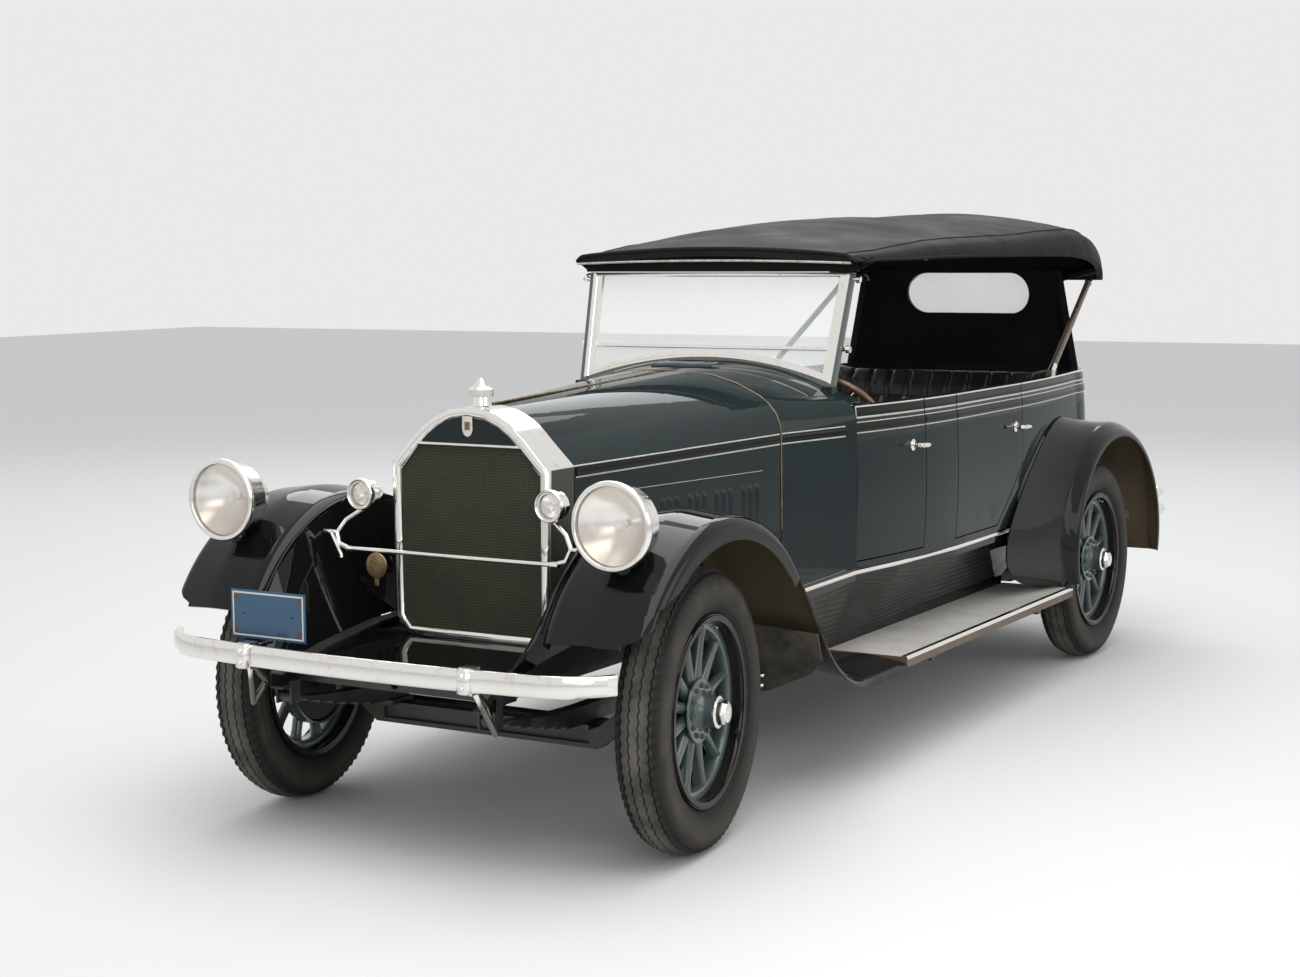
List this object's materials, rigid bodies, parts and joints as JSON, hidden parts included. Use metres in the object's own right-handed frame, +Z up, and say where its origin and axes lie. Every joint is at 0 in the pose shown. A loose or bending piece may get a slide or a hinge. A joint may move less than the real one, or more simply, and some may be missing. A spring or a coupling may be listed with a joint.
{
  "type": "touring car",
  "caption": "Open touring car with raised fabric top, wooden artillery wheels, front-hinged doors, split hood, running boards and a spare wheel at the rear.",
  "frame": {"origin": "on the ground, under the middle of the car's overall length and width", "axes": "+X to the car's left, +Y to the car's rear, +Z up"},
  "size_m": [1.69, 4.953, 1.8911],
  "materials": {
    "lacquer": "gloss",
    "enamel": "gloss",
    "chassis": "satin",
    "cast": "rough",
    "nickel": "polished",
    "glass": "clear",
    "wheel_paint": "gloss",
    "tyre": "matt",
    "wood": "varnished",
    "board": "ribbed mat",
    "leather": "buttoned",
    "fabric": "woven",
    "core": "dark finned",
    "steel": "plain",
    "plate_blue": "enamel"
  },
  "bodies": {
    "car": {"frame": "chassis", "front_axle": "chassis", "leaf_springs": "chassis", "rear_axle": "chassis", "engine": "cast", "exhaust": "steel", "fuel_tank": "chassis", "cowl": "lacquer", "dashboard": "wood", "body_tub": "lacquer", "floor": "wood", "radiator_shell": "nickel", "radiator_core": "core", "radiator_cap": "nickel", "front_fenders": "enamel", "rear_fenders": "enamel", "running_boards": "board", "splash_aprons": "enamel", "front_aprons": "enamel", "headlamps": "nickel", "small_lamps": "nickel", "lamp_glasses": "glass", "windshield_frame": "nickel", "windshield_glass": "glass", "steering_column": "enamel", "front_seat": "leather", "rear_seat": "leather", "top_canopy": "fabric", "rear_window": "glass", "top_irons": "wood", "front_bumper": "nickel", "number_plate": "plate_blue", "spare_rim": "wheel_paint", "spare_tyre": "tyre", "spare_carrier": "chassis", "tail_lamp": "nickel"},
    "knuckle_left": {"knuckle_left": "chassis"},
    "knuckle_right": {"knuckle_right": "chassis"},
    "tie_rod": {"tie_rod": "chassis"},
    "wheel_front_left": {"wheel_front_left": "wheel_paint", "tyre_front_left": "tyre"},
    "wheel_front_right": {"wheel_front_right": "wheel_paint", "tyre_front_right": "tyre"},
    "wheel_rear_left": {"wheel_rear_left": "wheel_paint", "tyre_rear_left": "tyre"},
    "wheel_rear_right": {"wheel_rear_right": "wheel_paint", "tyre_rear_right": "tyre"},
    "door_front_left": {"door_front_left": "lacquer"},
    "door_front_right": {"door_front_right": "lacquer"},
    "door_rear_left": {"door_rear_left": "lacquer"},
    "door_rear_right": {"door_rear_right": "lacquer"},
    "hood_left": {"hood_left": "lacquer"},
    "hood_right": {"hood_right": "lacquer"},
    "steering_wheel": {"steering_wheel": "wood"}
  },
  "joints": [
    {"name": "steer_left", "type": "hinge", "parent": "car", "child": "knuckle_left", "pos_m": [0.579, -1.8035, 0.419], "axis": [0, 0, 1], "range_deg": [-36.6, 23.4]},
    {"name": "steer_right", "type": "hinge", "parent": "car", "child": "knuckle_right", "pos_m": [-0.579, -1.8035, 0.419], "axis": [0, 0, 1], "range_deg": [-36.6, 23.4]},
    {"name": "tie_rod_pivot", "type": "hinge", "parent": "knuckle_left", "child": "tie_rod", "pos_m": [0.56176, -1.65449, 0.315], "axis": [0, 0, 1], "range_deg": [-23.4, 36.6]},
    {"name": "steering_wheel_turn", "type": "hinge", "parent": "car", "child": "steering_wheel", "pos_m": [0.36, -0.1135, 1.13], "axis": [0, 0.8094, 0.5872], "range_deg": [-480, 310]},
    {"name": "wheel_front_left_spin", "type": "hinge", "parent": "knuckle_left", "child": "wheel_front_left", "pos_m": [0.71013, -1.78833, 0.419], "axis": [0.9934, 0.1149, 0], "continuous": true},
    {"name": "wheel_rear_left_spin", "type": "hinge", "parent": "car", "child": "wheel_rear_left", "pos_m": [0.711, 1.6505, 0.419], "axis": [1, 0, 0], "continuous": true},
    {"name": "door_front_left_hinge", "type": "hinge", "parent": "car", "child": "door_front_left", "pos_m": [0.633, -0.461, 0.96], "axis": [0, 0, -1], "range_deg": [0, 70]},
    {"name": "door_rear_left_hinge", "type": "hinge", "parent": "car", "child": "door_rear_left", "pos_m": [0.713, 0.256, 0.96], "axis": [0, 0, -1], "range_deg": [0, 70]},
    {"name": "hood_left_hinge", "type": "hinge", "parent": "car", "child": "hood_left", "pos_m": [0, -1.7415, 1.291], "axis": [0, -0.9989, -0.0469], "range_deg": [0, 62]},
    {"name": "wheel_front_right_spin", "type": "hinge", "parent": "knuckle_right", "child": "wheel_front_right", "pos_m": [-0.71013, -1.81867, 0.419], "axis": [0.9934, 0.1149, 0], "continuous": true},
    {"name": "wheel_rear_right_spin", "type": "hinge", "parent": "car", "child": "wheel_rear_right", "pos_m": [-0.711, 1.6505, 0.419], "axis": [1, 0, 0], "continuous": true},
    {"name": "door_front_right_hinge", "type": "hinge", "parent": "car", "child": "door_front_right", "pos_m": [-0.633, -0.461, 0.96], "axis": [0, 0, 1], "range_deg": [0, 70]},
    {"name": "door_rear_right_hinge", "type": "hinge", "parent": "car", "child": "door_rear_right", "pos_m": [-0.713, 0.256, 0.96], "axis": [0, 0, 1], "range_deg": [0, 70]},
    {"name": "hood_right_hinge", "type": "hinge", "parent": "car", "child": "hood_right", "pos_m": [0, -1.7415, 1.291], "axis": [0, 0.9989, 0.0469], "range_deg": [0, 62]}
  ],
  "couplings": [
    {"joint": "steer_right", "follows": "steer_left", "ratio": 1},
    {"joint": "tie_rod_pivot", "follows": "steer_left", "ratio": -1},
    {"joint": "steering_wheel_turn", "follows": "steer_left", "ratio": 13}
  ]
}
